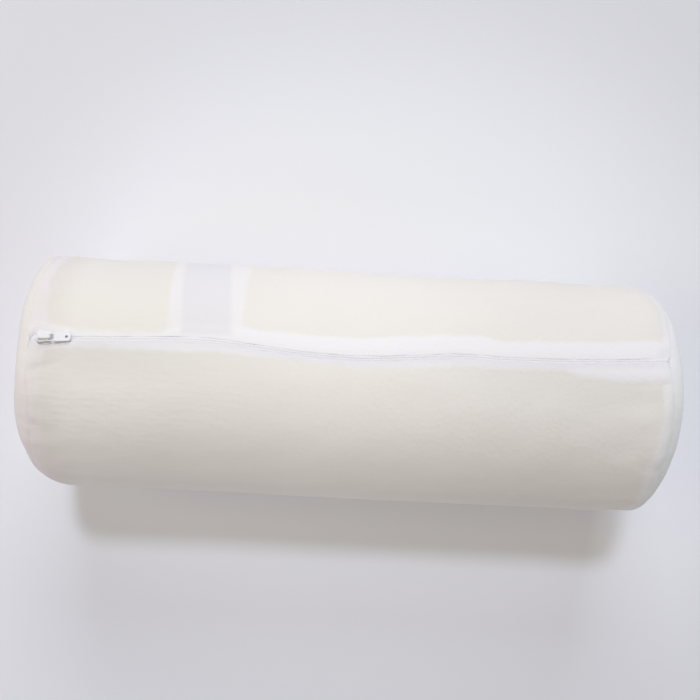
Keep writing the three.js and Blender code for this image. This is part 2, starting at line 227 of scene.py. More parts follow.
COIL = {"pitch": 0.92, "wire": 0.22, "inner": -0.15, "outer": 1.8, "bottom": -0.65, "top": -0.15}
COIL_STEPS = {"turn": 14, "wire": 6}
COIL_SQUARED = 0.62  # under 1 a loop is fuller than an ellipse
COIL_STARTS = {1: 0.8, -1: 0.3}  # in pitches, so the halves' loops alternate
CORD = {"inner": 0.05, "outer": 1.9, "bottom": -0.7, "top": -0.03}  # fills the loops of the coil
COIL_LEAN = {1: 0.05, -1: -0.15}  # rise for each mm across, on the back and front halves

# Slider and pull, in the slider's own frame: x along the chain to the right, z out of the roll.
COIL_TOP = 0.0
GAP = 0.3
SLIDER = {"x": -181, "length": 9, "plate": 0.9, "bevel": 0.28, "nose": 7.0, "tail": 5.2, "shoulder_x": -1.8}
SLIDER_ROUNDS = (2.4, 1.2, 0.7, 0.7, 1.2, 1.8)
FLANGE = {"bottom": -0.5, "thick": 0.5, "nose_clear": 1.4, "tail_clear": 0.6, "round": 0.2, "bevel": 0.1}
BRIDGE = {
    "from_x": -3.6, "to_x": 4.4, "leg": 1.1, "rise": 2.7, "bar": 0.9, "width": 2.4, "bevel": 0.25,
    "across": -0.85,  # it stands to the front of the plate's middle
}
BRIDGE_ROUNDS = (0.3, 0.3, 0.5, 0.5, 0.3, 0.3, 1.4, 1.6)
PULL = {
    "across": -1.0, "length": 14.1, "width": 5.2, "neck": 4.8, "shoulder": 1.6, "thick": 0.75, "bevel": 0.2,
    "tilt": 4.5, "swing": 2,  # degrees: down at its end, and to the back
    "rest": 0.65,  # its height over the plate, at the bridge
}
PULL_ROUNDS = (0.8, 0.5, 0.5, 1.9, 1.9, 0.5, 0.5, 0.8)
PULL_EYE = {"from": 1.2, "to": 4.3, "width": 3.4, "round": 0.4}
PULL_HOLE = {"at": 11.7, "radius": 0.85, "sides": 24}
SHARP_ANGLE = math.radians(40)  # metal edges over this stay sharp

PLATE_BOTTOM = COIL_TOP + GAP
PLATE_TOP = PLATE_BOTTOM + SLIDER["plate"]
FLAT_HALF_ANGLE = math.asin(FLAT_HALF_WIDTH / RADIUS)
AXIS_HEIGHT = RADIUS * math.cos(FLAT_HALF_ANGLE)


# Shape of the roll. Each function takes arrays as well as single numbers.

def smooth(start, stop, value):
    share = np.clip((value - start) / (stop - start), 0, 1)
    return share * share * (3 - 2 * share)


def column(rows, key):
    return np.array([row[key] for row in rows], float)


def between(rows, at, key, value):
    """One column of a table, read off between its rows for some value of another."""
    return np.interp(value, column(rows, at), column(rows, key))


def rim_size(end, turn, key):
    level = np.sin(turn) ** 2
    facing = np.where(np.sin(turn) > 0, end[key]["back"], end[key]["front"])
    return end[key]["top"] * (1 - level) + facing * level


def dent_depth(x, turn):
    depth = 0
    for dent in DENTS:
        round_way = 2 * RADIUS * np.sin((turn - math.radians(dent["turn"])) / 2)
        distance = np.hypot(x - dent["x"], round_way) / dent["reach"]
        depth = depth + dent["depth"] * np.exp(-distance ** 2)
    return depth


def surface_radius(x, turn, inset=0):
    """Radius of the roll's outer surface, or of the one that lies inset mm under it."""
    along = np.where(x < 0, rim_size(LEFT, turn, "along"), rim_size(RIGHT, turn, "along"))
    inward = np.where(x < 0, rim_size(LEFT, turn, "inward"), rim_size(RIGHT, turn, "inward"))
    past = np.clip((np.abs(x) - RIM_X + inset + along) / along, 0, 1)
    return RADIUS - inset - inward * (1 - np.sqrt(1 - past ** 2)) - dent_depth(x, turn)


def place(x, turn, radius):
    """Points of the roll. Near the bottom the round is scaled in, to a flat spot."""
    from_down = np.arctan2(np.sin(turn - math.pi), np.cos(turn - math.pi))
    in_flat = np.abs(from_down) < FLAT_HALF_ANGLE
    out = radius * np.where(in_flat, AXIS_HEIGHT / (RADIUS * np.cos(from_down)), 1)
    x, out, turn = np.broadcast_arrays(x, out, turn)
    return np.stack([x, out * np.sin(turn), AXIS_HEIGHT + out * np.cos(turn)], axis=-1)


def zip_arc(x):
    """The zip's path as a smooth curve through its table, and straight left of its second row."""
    xs, arcs = column(ZIP_PATH, "x"), column(ZIP_PATH, "arc")
    slopes = np.empty(len(xs))
    slopes[1:-1] = (arcs[2:] - arcs[:-2]) / (xs[2:] - xs[:-2])
    slopes[-1] = (arcs[-1] - arcs[-2]) / (xs[-1] - xs[-2])
    x = np.asarray(x, float)
    i = np.clip(np.searchsorted(xs, x) - 1, 1, len(xs) - 2)
    span = xs[i + 1] - xs[i]
    t = (x - xs[i]) / span
    slope_in, slope_out = slopes[i] * span, slopes[i + 1] * span
    rise = arcs[i + 1] - arcs[i]
    bend = 3 * rise - 2 * slope_in - slope_out
    curve = arcs[i] + t * (slope_in + t * (bend + t * (slope_in + slope_out - 2 * rise)))
    straight = arcs[0] + (x - xs[0]) * (arcs[1] - arcs[0]) / (xs[1] - xs[0])
    return np.where(x < xs[1], straight, curve) + ZIP_SHIFT


def zip_spread(x):
    return SPREAD["half"] * (1 - smooth(SPREAD["full_x"], SPREAD["zero_x"], x))


def zip_turn(x, across):
    """Turn of a point that lies across mm behind the middle of the chain."""
    sway = between(SWAY, "x", "across", x) * (1 - smooth(*SWAY_FADES, np.abs(across)))
    return (zip_arc(x) + sway + across) / RADIUS


def ripples(name, x, turn, more=0):
    """A smooth uneven field from its row of WAVES, which closes round the roll. more goes to its seed."""
    row = next(row for row in WAVES if row["name"] == name)
    rng = np.random.default_rng(row["seed"] + more)
    total = 0
    for _ in range(WAVE_COUNT):
        length = row["shortest"] * (row["longest"] / row["shortest"]) ** rng.random()
        heading = rng.random() * 2 * math.pi
        along = 2 * math.pi * math.cos(heading) / length
        rounds = round(2 * math.pi * RADIUS * math.sin(heading) / length)
        total = total + np.sin(along * x + rounds * turn + rng.random() * 2 * math.pi)
    return row["size"] * (total / math.sqrt(WAVE_COUNT / 2))


def around(rows, key, turn):
    """Sum of soft bumps round the roll, each with its turn and reach in degrees."""
    total = 0
    for row in rows:
        angle = np.degrees(2 * np.sin((turn - math.radians(row["turn"])) / 2))
        total = total + row[key] * np.exp(-(angle / row["reach"]) ** 2)
    return total


def seam_shift(end, turn):
    uneven = ripples("seam_line", 0, turn, end["side"])
    return uneven + around(SEAM_SHIFTS[end["side"]], "shift", turn)


def seam_profile(end, turn, distance):
    """Height beside a seam: the cloth puffs up a little, then rolls down into it."""
    rolled = -SEAM_DIP["depth"] * np.exp(-distance / SEAM_DIP["reach"])
    share = distance / SEAM_PUFF["at"]
    puff = SEAM_PUFF["rise"] * share * np.exp(1 - share)
    gathers = ripples("gathers", 0, turn, end["side"]) + ripples("slow_gathers", 0, turn)
    pucker = PUCKER["rise"] * gathers * np.exp(-distance / PUCKER["reach"])
    return rolled + puff + pucker


# Meshes

def ring_faces(rings, size):
    """Quads between neighbouring rings, for points that are stored ring by ring."""
    ring, spot = np.meshgrid(np.arange(rings - 1), np.arange(size), indexing="ij")
    a = ring * size + spot
    b = ring * size + (spot + 1) % size
    return np.stack([a, a + size, b + size, b], axis=-1).reshape(-1, 4).tolist()


def closed_faces(rings, size):
    """Quads between rings, and at each end a fan round one of two middle points, stored after them."""
    faces = ring_faces(rings, size)
    for start, middle, way in ((0, rings * size, 1), ((rings - 1) * size, rings * size + 1, -1)):
        spots = [start + i for i in range(size)]
        faces += [[middle, *pair[::way]] for pair in zip(spots, spots[1:] + spots[:1])]
    return faces


def joined(shells):
    """One list of points and one of faces, from shells that each have their own."""
    points, faces = [], []
    for shell_points, shell_faces in shells:
        start = len(points)
        points += [tuple(point) for point in shell_points]
        faces += [[start + i for i in face] for face in shell_faces]
    return points, faces


def mesh_object(name, points, faces, marks=None):
    """An object from points in mm, with each mark stored as a number at every point."""
    mesh = bpy.data.meshes.new(name)
    mesh.from_pydata((np.asarray(points) * MM).tolist(), [], faces)
    mesh.validate()
    mesh.shade_smooth()
    for key, values in (marks or {}).items():
        mesh.attributes.new(key, "FLOAT", "POINT").data.foreach_set("value", values)
    piece = bpy.data.objects.new(name, mesh)
    bpy.context.scene.collection.objects.link(piece)
    return piece


def corner_points(mesh):
    """The number of the point at each corner of each face."""
    corners = np.empty(len(mesh.loops), int)
    mesh.loops.foreach_get("vertex_index", corners)
    return corners


def add_cloth_map(mesh, values):
    """A UV map in metres, from two numbers in mm for each corner."""
    mesh.uv_layers.new(name="cloth").data.foreach_set("uv", (values * MM).ravel())


def map_round(mesh, along, around, wrap):
    """A map along the roll and round it. wrap is the length where the round closes."""
    corners = corner_points(mesh)
    starts = np.empty(len(mesh.polygons), int)
    sizes = np.empty(len(mesh.polygons), int)
    mesh.polygons.foreach_get("loop_start", starts)
    mesh.polygons.foreach_get("loop_total", sizes)
    u, v = along[corners], around[corners].copy()
    lowest = np.repeat(np.minimum.reduceat(v, starts), sizes)
    highest = np.repeat(np.maximum.reduceat(v, starts), sizes)
    v[(highest - lowest > wrap / 2) & (v - lowest < wrap / 2)] += wrap
    add_cloth_map(mesh, np.stack([u, v], axis=-1))


# The cover. Its rows run along the roll, and its rings stand at stations along X.

ROW_STEP = 2.0
STATION_STEP = 2.0
SLIDER_STEP = 0.6
SLIDER_END = -171  # stations stand close together left of this
STRAIGHT_ROWS = {"to_front": -13, "from_back": 52}  # turns: rows further round follow no zip
BETWEEN_ROWS = {"front": 10, "back": 12}  # steps from a straight row to the first of the zip's
SEAM_DISTANCES = (0, 0.06, 0.22, 0.5, 0.9, 1.4, 2.0, 2.8, 3.8, 5.0, 6.4)
# Rows beside the zip, by distance across: over the cover, under its folded edge, and on the pocket's floor
OUTER_ROWS = (20, 18.2, 16.6, 15.2, 14, 12.8, 11.6, 10.4, 9.2, 8.1, 7.1, 6.1, 5.2, 4.3)
UNDER_ROWS = ((2.5, 0.2), (3.0, -0.1), (3.8, -0.45), (5.0, -0.5), (POCKET_WALL, -0.5))
FLOOR_ROWS = (POCKET_WALL, 7, 3.9, 2.2, 1.15, 0.6)
PUSH_FADES = (3.5, 20)  # a lip's push is whole up to here across the zip, and gone this far out
FLOOR_PUSHED = 3  # floor rows further out than this move with the lip


def stations():
    """Places along the roll where the cover has a ring, close together at the seams and the slider."""
    left = [-LEFT["seam_x"] + d for d in SEAM_DISTANCES]
    right = [RIGHT["seam_x"] - d for d in SEAM_DISTANCES]
    fine = np.arange(left[-1] + SLIDER_STEP, SLIDER_END, SLIDER_STEP)
    steps = round((right[-1] - SLIDER_END) / STATION_STEP)
    plain = np.linspace(SLIDER_END, right[-1], steps, endpoint=False)
    return np.array([*left, *fine, *plain, *reversed(right)])


def seam_distances(x, turn):
    """Place of each point when the seams' shifts are followed, and its distance from each seam."""
    placed = x
    for end in ENDS:
        distance = end["seam_x"] - end["side"] * x
        fade = 1 - smooth(*SEAM_SHIFT_FADES, distance)
        placed = placed + end["side"] * seam_shift(end, turn) * fade
    gaps = [
        np.maximum(end["seam_x"] + seam_shift(end, turn) - end["side"] * placed, 0)
        for end in ENDS
    ]
    return placed, gaps


def lip_at(x, side):
    """Distance from the middle of the chain to the folded edge of the cover."""
    return between(LIPS, "x", side, x) + ripples("lip", x, 0, side == "back")


def allowance(x, side):
    return between(ALLOWANCE, "x", side, x) + ripples("allowance", x, 0, side == "front")


def opening_rows(x, sign):
    """Distances across and heights of the rows on one side of the zip, from the outside to the middle."""
    side = "back" if sign > 0 else "front"
    open_here = smooth(*OPENS, np.minimum(x + LEFT["seam_x"], RIGHT["seam_x"] - x))
    in_end = smooth(END_POCKET["from_x"], END_POCKET["to_x"], x)
    lip = lip_at(x, side)
    push = lip - LIP_AT[side]
    bed = LIP_RISE[side] + ripples("bed", x, 0, sign)
    edge = np.maximum(allowance(x, side), DOUBLED["least"])
    fall_from = edge - DOUBLED["inside"] if sign > 0 else lip
    pushed = np.clip(push / LIP_SLOPE["full_push"], 0, 1) * (sign < 0)
    slope = LIP_SLOPE[side] + LIP_SLOPE["pushed"] * pushed
    if sign > 0:
        slope = slope + LIP_SLOPE["left_end"] * in_end * open_here
    rows = []
    for nominal in OUTER_ROWS:
        across = nominal + push * (1 - smooth(*PUSH_FADES, nominal))
        lower = slope * (1 - smooth(0, LIP_SLOPE["reach"], across - lip))
        rows.append((across, bed * (1 - smooth(fall_from, edge + DOUBLED["outside"], across)) - lower))
    inner = []
    for angle in np.radians(np.linspace(90, 270, LIP_STEPS)):
        out = LIP_ROLL * (1 + math.cos(angle))
        inner.append((lip + out, bed - slope - LIP_ROLL + LIP_ROLL * math.sin(angle)))
    under = bed - slope - LIP_UNDER
    floor = POCKET_FLOOR + (END_POCKET["floor"] - POCKET_FLOOR) * in_end
    for across, height in UNDER_ROWS:
        inner.append((across + push, np.maximum(np.minimum(height, under), floor + POCKET_LEAST)))
    inner += [(across + push * (across > FLOOR_PUSHED), floor) for across in FLOOR_ROWS]
    flat_step = OUTER_ROWS[-1] / (len(inner) + 1)
    for i, (across, height) in enumerate(inner):
        flat = OUTER_ROWS[-1] - flat_step * (i + 1)
        rows.append((flat + (across - flat) * open_here, bed + (height - bed) * open_here))
    return rows


def crease_depth(x, turn):
    depth = 0
    for crease in CREASES:
        (x0, t0), (x1, t1) = crease["from"], crease["to"]
        start = np.array([x0, math.radians(t0) * RADIUS])
        line = np.array([x1, math.radians(t1) * RADIUS]) - start
        reach = np.stack(np.broadcast_arrays(x, turn * RADIUS), axis=-1) - start
        share = np.clip(reach @ line / (line @ line), 0, 1)
        gap = np.linalg.norm(reach - share[..., None] * line, axis=-1) / crease["reach"]
        depth = depth + crease["depth"] * (1 - CREASE_FADE * share) * np.exp(-gap ** 2)
    return depth


def loose_share(x, across):
    past = -across - allowance(x, "front")
    here = smooth(*LOOSE_STARTS, past) * (1 - smooth(*LOOSE_ENDS, past))
    return here * between(LOOSE, "x", "share", x)


def cover_waves(x, turn, across, gaps):
    """Unevenness of the stuffed cover: swells, creases, and the dip of its loose cloth."""
    gap = np.minimum(*gaps)
    short = SWELL["plain"] + SWELL["at_seam"] * np.exp(-gap / SWELL["seam_reach"])
    swell = ripples("broad", x, turn) + short * ripples("short", x, turn)
    uneven = swell * smooth(*SWELL["clear_of_zip"], np.abs(across))
    clear = smooth(0, SEAM_CLEAR, gap)
    return (uneven - crease_depth(x, turn)) * clear - LOOSE_DIP * loose_share(x, across)


def cover_grid():
    """Place, turn, height and marks of every point of the cover between its seams, row by row."""
    x = stations()
    front, back = opening_rows(x, -1), opening_rows(x, 1)
    turns, heights = [], []

    def add(turn, height=0):
        turns.append(turn + 0 * x)
        heights.append(height + 0 * x)

    def fill(start, stop, count):
        for share in np.arange(1, count) / count:
            add(start + (stop - start) * share)

    def even(start, stop):
        count = round(abs(stop - start) * RADIUS / ROW_STEP)
        for share in np.arange(count) / count:
            add(start + (stop - start) * share)

    front_turn, back_turn = (math.radians(STRAIGHT_ROWS[key]) for key in ("to_front", "from_back"))
    even(-math.pi, front_turn)
    add(front_turn)
    fill(front_turn, zip_turn(x, -OUTER_ROWS[0]), BETWEEN_ROWS["front"])
    for across, height in front:
        add(zip_turn(x, -across), height)
    add(zip_turn(x, 0 * x), back[-1][1])
    for across, height in reversed(back):
        add(zip_turn(x, across), height)
    fill(zip_turn(x, OUTER_ROWS[0]), back_turn, BETWEEN_ROWS["back"])
    even(back_turn, math.pi)
    turn, height = np.array(turns), np.array(heights)
    placed, gaps = seam_distances(np.broadcast_to(x, turn.shape), turn)
    across = turn * RADIUS - zip_arc(placed)
    marks = cover_marks(placed, turn, across, gaps)
    height = height + cover_waves(placed, turn, across, gaps)
    for end, gap in zip(ENDS, gaps):
        height = height + seam_profile(end, turn, gap)
    return placed, turn, height, marks


def cover_marks(x, turn, across, gaps):
    """What the cover's cloth shows of the layers under it, for its material."""
    back = allowance(x, "back") - across
    front = allowance(x, "front") + across
    degrees = np.degrees(turn)
    strip = 0
    for end, gap in zip(ENDS, gaps):
        rows = STRIPS[end["side"]]
        width = between(rows, "turn", "width", degrees) + ripples("strip", x, turn, end["side"])
        shows = between(rows, "turn", "shows", degrees)
        strip = np.maximum(strip, shows * (1 - smooth(width - STRIP_SOFT, width + STRIP_SOFT, gap)))
    arc = turn * RADIUS
    start, stop = (math.radians(RIBBON[key]) * RADIUS for key in ("from_turn", "to_turn"))
    edges = {}
    for key in ("left", "middle_left", "middle_right", "right"):
        edges[key] = x - RIBBON[key]["x"] - RIBBON[key]["lean"] * (arc - start)
    ends = np.minimum(arc - start, stop - arc)
    return {
        "band": np.minimum(back, front),
        "beside": across,
        "loose": loose_share(x, across),
        "strip": strip,
        "ribbon": np.minimum(np.minimum(edges["left"], -edges["right"]), ends),
        "ribbon_middle": np.minimum(np.minimum(edges["middle_left"], -edges["middle_right"]), ends),
    }


FOAM_SHARES = (0.02, 0.2, 0.45, 0.7, 0.85, 0.95, 1)  # of the way from the seam to the foam's rim
FOAM_DISC_SHARES = (0.8, 0.55, 0.3)  # of the foam rim's size, towards the middle


def disc_ring(end, rim, limit, share):
    """The ring at the rim of a disc, drawn in to a share of its size on the disc's bulge."""
    ring = rim * [1, share, share] + [0, 0, AXIS_HEIGHT * (1 - share)]
    ring[:, 0] = end["side"] * (limit + CROWN * (1 - share ** 2))
    return ring


def under_end(end, turn):
    """Rings of the foam under an end cloth, from the seam to the middle, for the turns of one ring."""
    seam = end["seam_x"] + seam_shift(end, turn)
    limit = RIM_X - RECESS
    rings = []
    for share in FOAM_SHARES:
        x = end["side"] * (seam + (limit - seam) * share)
        rings.append(place(x, turn, surface_radius(x, turn, RECESS)))
    rim = rings[-1]
    rings += [disc_ring(end, rim, limit, share) for share in FOAM_DISC_SHARES]
    return rings, [end["side"] * (limit + CROWN), 0, AXIS_HEIGHT]


# Marks of the foam's hidden ends, where no layer shows
HIDDEN_MARKS = {"band": -20, "beside": -20, "ribbon": -20, "ribbon_middle": -20, "loose": 0, "strip": 0}


def make_cover():
    x, turn, height, marks = cover_grid()
    points = place(x, turn, surface_radius(x, turn) + height)
    points[..., 2] = np.maximum(points[..., 2], 0)
    rings = list(np.swapaxes(points, 0, 1))
    left_rings, left_centre = under_end(LEFT, turn[:, 0])
    right_rings, right_centre = under_end(RIGHT, turn[:, -1])
    rings = left_rings[::-1] + rings + right_rings
    size = len(turn)
    before, after = len(left_rings) * size, len(right_rings) * size + 2
    all_points = np.concatenate([*rings, [left_centre], [right_centre]])

    def spread_out(values, filler=0):
        return np.pad(values.T.ravel(), (before, after), constant_values=filler)

    named = {key: spread_out(values, HIDDEN_MARKS[key]) for key, values in marks.items()}
    cover = mesh_object("cover", all_points, closed_faces(len(rings), size), named)
    map_round(cover.data, spread_out(x), spread_out(turn * RADIUS), 2 * math.pi * RADIUS)
    return cover


# The end cloths

END_TURNS = 260
END_DISTANCES = SEAM_DISTANCES[:8]
END_STEPS = 18
SEAM_GAP = 0.02
DISC_SHARES = (0.97, 0.93, 0.88, 0.82, 0.75, 0.67, 0.58, 0.48, 0.37, 0.25, 0.12)
DISC_WAY = 60  # mm over the cloth from its rim to its middle, for the strip's mark
RIM_CALMS = {"from": 0.75, "by": 0.8}  # of the way from the seam to the rim, the unevenness dies down


def end_surface(end, turn, inset, outer):
    """Rings of one face of an end cloth, from the seam over the rim to the middle."""
    seam = end["seam_x"] + seam_shift(end, turn) + SEAM_GAP
    limit = RIM_X - inset
    first = END_DISTANCES[-1]
    bends = np.sin(np.linspace(0, math.pi / 2, END_STEPS + 1))[1:]
    distances = [d + 0 * seam for d in END_DISTANCES]
    distances += [first + (limit - seam - first) * share for share in bends]
    bulge_out = end["side"] * around(END_BULGES[end["side"]], "out", turn)
    rings, ways = [], []
    for distance in distances:
        x = end["side"] * (seam + distance)
        to_rim = distance / (limit - seam)
        height = 0
        if outer:
            swell = ripples("end_rim", x, turn, end["side"]) * smooth(0, SEAM_CLEAR, distance)
            height = seam_profile(end, turn, distance) + swell
            height = height * (1 - smooth(RIM_CALMS["from"], 1, to_rim) * RIM_CALMS["by"])
        ring = place(x, turn, surface_radius(x, turn, inset) + height)
        ring[:, 0] += bulge_out * smooth(0, 1, to_rim)
        rings.append(ring)
        ways.append(distance + 0 * turn)
    rim, rim_way = rings[-1], ways[-1]
    for share in DISC_SHARES:
        ring = disc_ring(end, rim, limit, share)
        ring[:, 0] += bulge_out * share ** 2
        if outer:
            swell = ripples("end_disc", ring[:, 1], ring[:, 2] / RADIUS, end["side"])
            ring[:, 0] += end["side"] * swell * (1 - share ** 4)
        rings.append(ring)
        ways.append(rim_way + DISC_WAY * (1 - share))
    return rings, [end["side"] * (limit + CROWN), 0, AXIS_HEIGHT], ways


def make_end_cloth(end, name):
    turn = np.arange(END_TURNS) * 2 * math.pi / END_TURNS
    outer, outer_centre, ways = end_surface(end, turn, 0, True)
    inner, inner_centre, _ = end_surface(end, turn, CLOTH_THICK, False)
    rings = inner[::-1] + outer
    faces = closed_faces(len(rings), END_TURNS)
    if end["side"] < 0:
        faces = [face[::-1] for face in faces]
    points = np.concatenate([*rings, [inner_centre], [outer_centre]])
    points[:, 2] = np.maximum(points[:, 2], 0)
    way = np.concatenate([*ways[::-1], *ways, ways[-1][:2]])
    rim = END_STRIPS[end["side"]]
    strip = rim["shows"] * (1 - smooth(rim["width"] - END_STRIP_SOFT, rim["width"] + END_STRIP_SOFT, way))
    piece = mesh_object(name, points, faces, {"strip": strip})
    add_cloth_map(piece.data, points[corner_points(piece.data)][:, 1:])
    return piece


# The zip

def zip_point(x, across, sign, height):
    """Point on one side of the chain, which opens left of the slider."""
    turn = zip_turn(x, sign * (across + zip_spread(x)))
    dip = LOOSE_DIP * loose_share(x, turn * RADIUS - zip_arc(x))
    return place(x, turn, surface_radius(x, turn) + height - dip)


def zip_ends():
    left = -LEFT["seam_x"] - seam_shift(LEFT, zip_turn(-LEFT["seam_x"], 0)) + ZIP_END_CLEAR["left"]
    right = RIGHT["seam_x"] + seam_shift(RIGHT, zip_turn(RIGHT["seam_x"], 0)) - ZIP_END_CLEAR["right"]
    return float(left), float(right)


def strip_shell(profile, sign, lean):
    """Points and faces of a closed strip along the zip, from its cross-section's (across, height)."""
    xs = np.linspace(*zip_ends(), STRIP_STATIONS)
    rings = [zip_point(xs, across, sign, height + lean * across) for across, height in profile]
    size = len(profile)
    faces = ring_faces(len(xs), size)
    faces += [list(range(size)), list(range(len(xs) * size - 1, (len(xs) - 1) * size - 1, -1))]
    if sign < 0:
        faces = [face[::-1] for face in faces]
    return np.stack(rings, axis=1).reshape(-1, 3), faces


def flat_profile(size, extra):
    """Cross-section of a strip with rounded sides. extra are more places across, for its flats."""
    half = (size["top"] - size["bottom"]) / 2
    middle = size["bottom"] + half
    profile = []
    for angle in np.radians((90, 45, 0, -45, -90)):
        profile.append((size["outer"] - half + half * math.cos(angle), middle + half * math.sin(angle)))
    profile += [(across, size["bottom"]) for across in reversed(extra)]
    for angle in np.radians((-90, -135, 180, 135, 90)):
        profile.append((size["inner"] + half + half * math.cos(angle), middle + half * math.sin(angle)))
    return profile + [(across, size["top"]) for across in extra]


def make_tape(name, sign):
    """A woven strip under the cover's edge."""
    return mesh_object(name, *strip_shell(flat_profile(TAPE, TAPE_FLATS), sign, TAPE_LEAN))


def sweep(path, along, thick, sides):
    """Points of a round tube round a path. along is a direction that the path never follows."""
    ahead = np.gradient(path, axis=0)
    ahead /= np.linalg.norm(ahead, axis=1, keepdims=True)
    first = np.cross(ahead, along)
    first /= np.linalg.norm(first, axis=1, keepdims=True)
    second = np.cross(ahead, first)
    angles = np.arange(sides) * 2 * math.pi / sides
    spokes = np.cos(angles)[:, None, None] * first + np.sin(angles)[:, None, None] * second
    return np.swapaxes(path + thick * spokes, 0, 1).reshape(-1, 3)


def make_coil(name, sign):
    """Half of the chain: a flattened spiral round a cord. Its loops reach between the other half's."""
    start, stop = zip_ends()
    turns = int((stop - start) / COIL["pitch"]) - 1
    steps, sides = COIL_STEPS["turn"], COIL_STEPS["wire"]
    angle = np.arange(turns * steps + 1) * 2 * math.pi / steps
    x = start + COIL["pitch"] * (angle / (2 * math.pi) + COIL_STARTS[sign])
    half_width = (COIL["outer"] - COIL["inner"]) / 2
    half_height = (COIL["top"] - COIL["bottom"]) / 2
    wide, high = (np.sign(way) * np.abs(way) ** COIL_SQUARED for way in (np.cos(angle), np.sin(angle)))
    across = COIL["inner"] + half_width * (1 + wide)
    height = COIL["bottom"] + half_height * (1 + high)
    path = zip_point(x, across, sign, height + COIL_LEAN[sign] * across)
    points = sweep(path, np.array([1.0, 0, 0]), COIL["wire"], sides)
    faces = ring_faces(len(path), sides)
    faces += [list(range(sides))[::-1], [len(points) - sides + i for i in range(sides)]]
    wire = (points, [face[::-1] for face in faces])
    cord = strip_shell(flat_profile(CORD, CORD_FLATS), sign, COIL_LEAN[sign])
    return mesh_object(name, *joined([wire, cord]))


def slider_frame():
    """Where the slider stands: on the chain, square to the roll and in line with the zip."""
    nose_x, tail_x = (SLIDER["x"] + side * SLIDER["length"] / 2 for side in (-1, 1))
    nose, tail = (float(surface_radius(x, zip_turn(x, 0))) for x in (nose_x, tail_x))
    turn = float(zip_turn(SLIDER["x"], 0))
    at = place(SLIDER["x"], turn, (nose + tail) / 2)
    swing = math.atan((float(zip_arc(tail_x)) - float(zip_arc(nose_x))) / SLIDER["length"])
    slope = math.atan((tail - nose) / SLIDER["length"])
    move = Matrix.Translation([float(value) for value in at])
    upright = Matrix.Rotation(-turn, 4, "X")
    return move @ upright @ Matrix.Rotation(swing, 4, "Z") @ Matrix.Rotation(-slope, 4, "Y")


def rounded(corners, radii, steps=5):
    """The outline through some corners, each rounded by its own radius."""
    outline = []
    corners = [np.array(corner, float) for corner in corners]
    for i, (corner, radius) in enumerate(zip(corners, radii)):
        to_last = corners[i - 1] - corner
        to_next = corners[(i + 1) % len(corners)] - corner
        start = corner + to_last / np.linalg.norm(to_last) * radius
        stop = corner + to_next / np.linalg.norm(to_next) * radius
        for t in np.linspace(0, 1, steps + 1):
            outline.append((1 - t) ** 2 * start + 2 * t * (1 - t) * corner + t * t * stop)
    return outline


def shrunk(outline, by):
    """An outline moved to its left by a distance: inwards where its points run anticlockwise."""
    points = np.array(outline)
    ahead = np.roll(points, -1, axis=0) - np.roll(points, 1, axis=0)
    ahead /= np.linalg.norm(ahead, axis=1, keepdims=True)
    return points + by * np.stack([-ahead[:, 1], ahead[:, 0]], axis=-1)


def plate(outlines, thick, bevel, bottom):
    """Points and faces of a flat plate with rounded edges. Outlines after the first are holes."""
    angles = np.linspace(-math.pi / 2, math.pi / 2, 6)
    low, high = bottom + bevel, bottom + thick - bevel
    rings = [(bevel * (1 - math.cos(a)), (low if a < 0 else high) + bevel * math.sin(a)) for a in angles]
    points, faces, caps = [], [], [[], []]
    for outline in outlines:
        size, start = len(outline), len(points)
        for by, z in rings:
            points += [(x, y, z) for x, y in shrunk(outline, by)]
        for face in ring_faces(len(rings), size):
            faces.append([start + i for i in reversed(face)])
        last = start + (len(rings) - 1) * size
        caps[0].append(list(range(start, start + size)))
        caps[1].append(list(range(last, last + size)))
    for cap, flip in zip(caps, (True, False)):
        indices = [i for loop in cap for i in loop]
        for triangle in tessellate_polygon([[Vector(points[i]) for i in loop] for loop in cap]):
            a, b, c = (indices[i] for i in triangle)
            corners = [Vector(points[i]) for i in (a, b, c)]
            upward = (corners[1] - corners[0]).cross(corners[2] - corners[0]).z > 0
            faces.append([c, b, a] if upward == flip else [a, b, c])
    return points, faces


def metal_piece(name, parts, matrix):
    """One object from parts, each with points and faces in mm and a matrix of its own."""
    moved = []
    for (points, faces), move in parts:
        moved.append(([matrix @ move @ Vector(point) for point in points], faces))
    piece = mesh_object(name, *joined(moved))
    piece.data.set_sharp_from_angle(angle=SHARP_ANGLE)
    return piece


def make_slider():
    """Top plate with turned-down sides, and a bridge over it that holds the pull."""
    nose, tail, half = SLIDER["nose"] / 2, SLIDER["tail"] / 2, SLIDER["length"] / 2
    shoulder = SLIDER["shoulder_x"]
    corners = [(-half, -nose), (shoulder, -nose), (half, -tail)]
    corners += [(x, -y) for x, y in reversed(corners)]
    plain = Matrix.Identity(4)
    top = plate([rounded(corners, SLIDER_ROUNDS)], SLIDER["plate"], SLIDER["bevel"], PLATE_BOTTOM)
    parts = [(top, plain)]
    front = [(-half + FLANGE["nose_clear"], -nose), (shoulder, -nose), (half - FLANGE["tail_clear"], -tail)]
    front += [(x, y + FLANGE["thick"]) for x, y in reversed(front)]
    back = [(x, -y) for x, y in reversed(front)]
    rise = PLATE_BOTTOM + SLIDER["plate"] / 2 - FLANGE["bottom"]
    for corners in (front, back):
        side = rounded(corners, [FLANGE["round"]] * len(corners), 3)
        parts.append((plate([side], rise, FLANGE["bevel"], FLANGE["bottom"]), plain))
    stand = Matrix.Translation([0, BRIDGE["across"], PLATE_TOP]) @ Matrix.Rotation(math.pi / 2, 4, "X")
    parts.append((bridge_plate(), stand))
    return metal_piece("slider", parts, slider_frame())


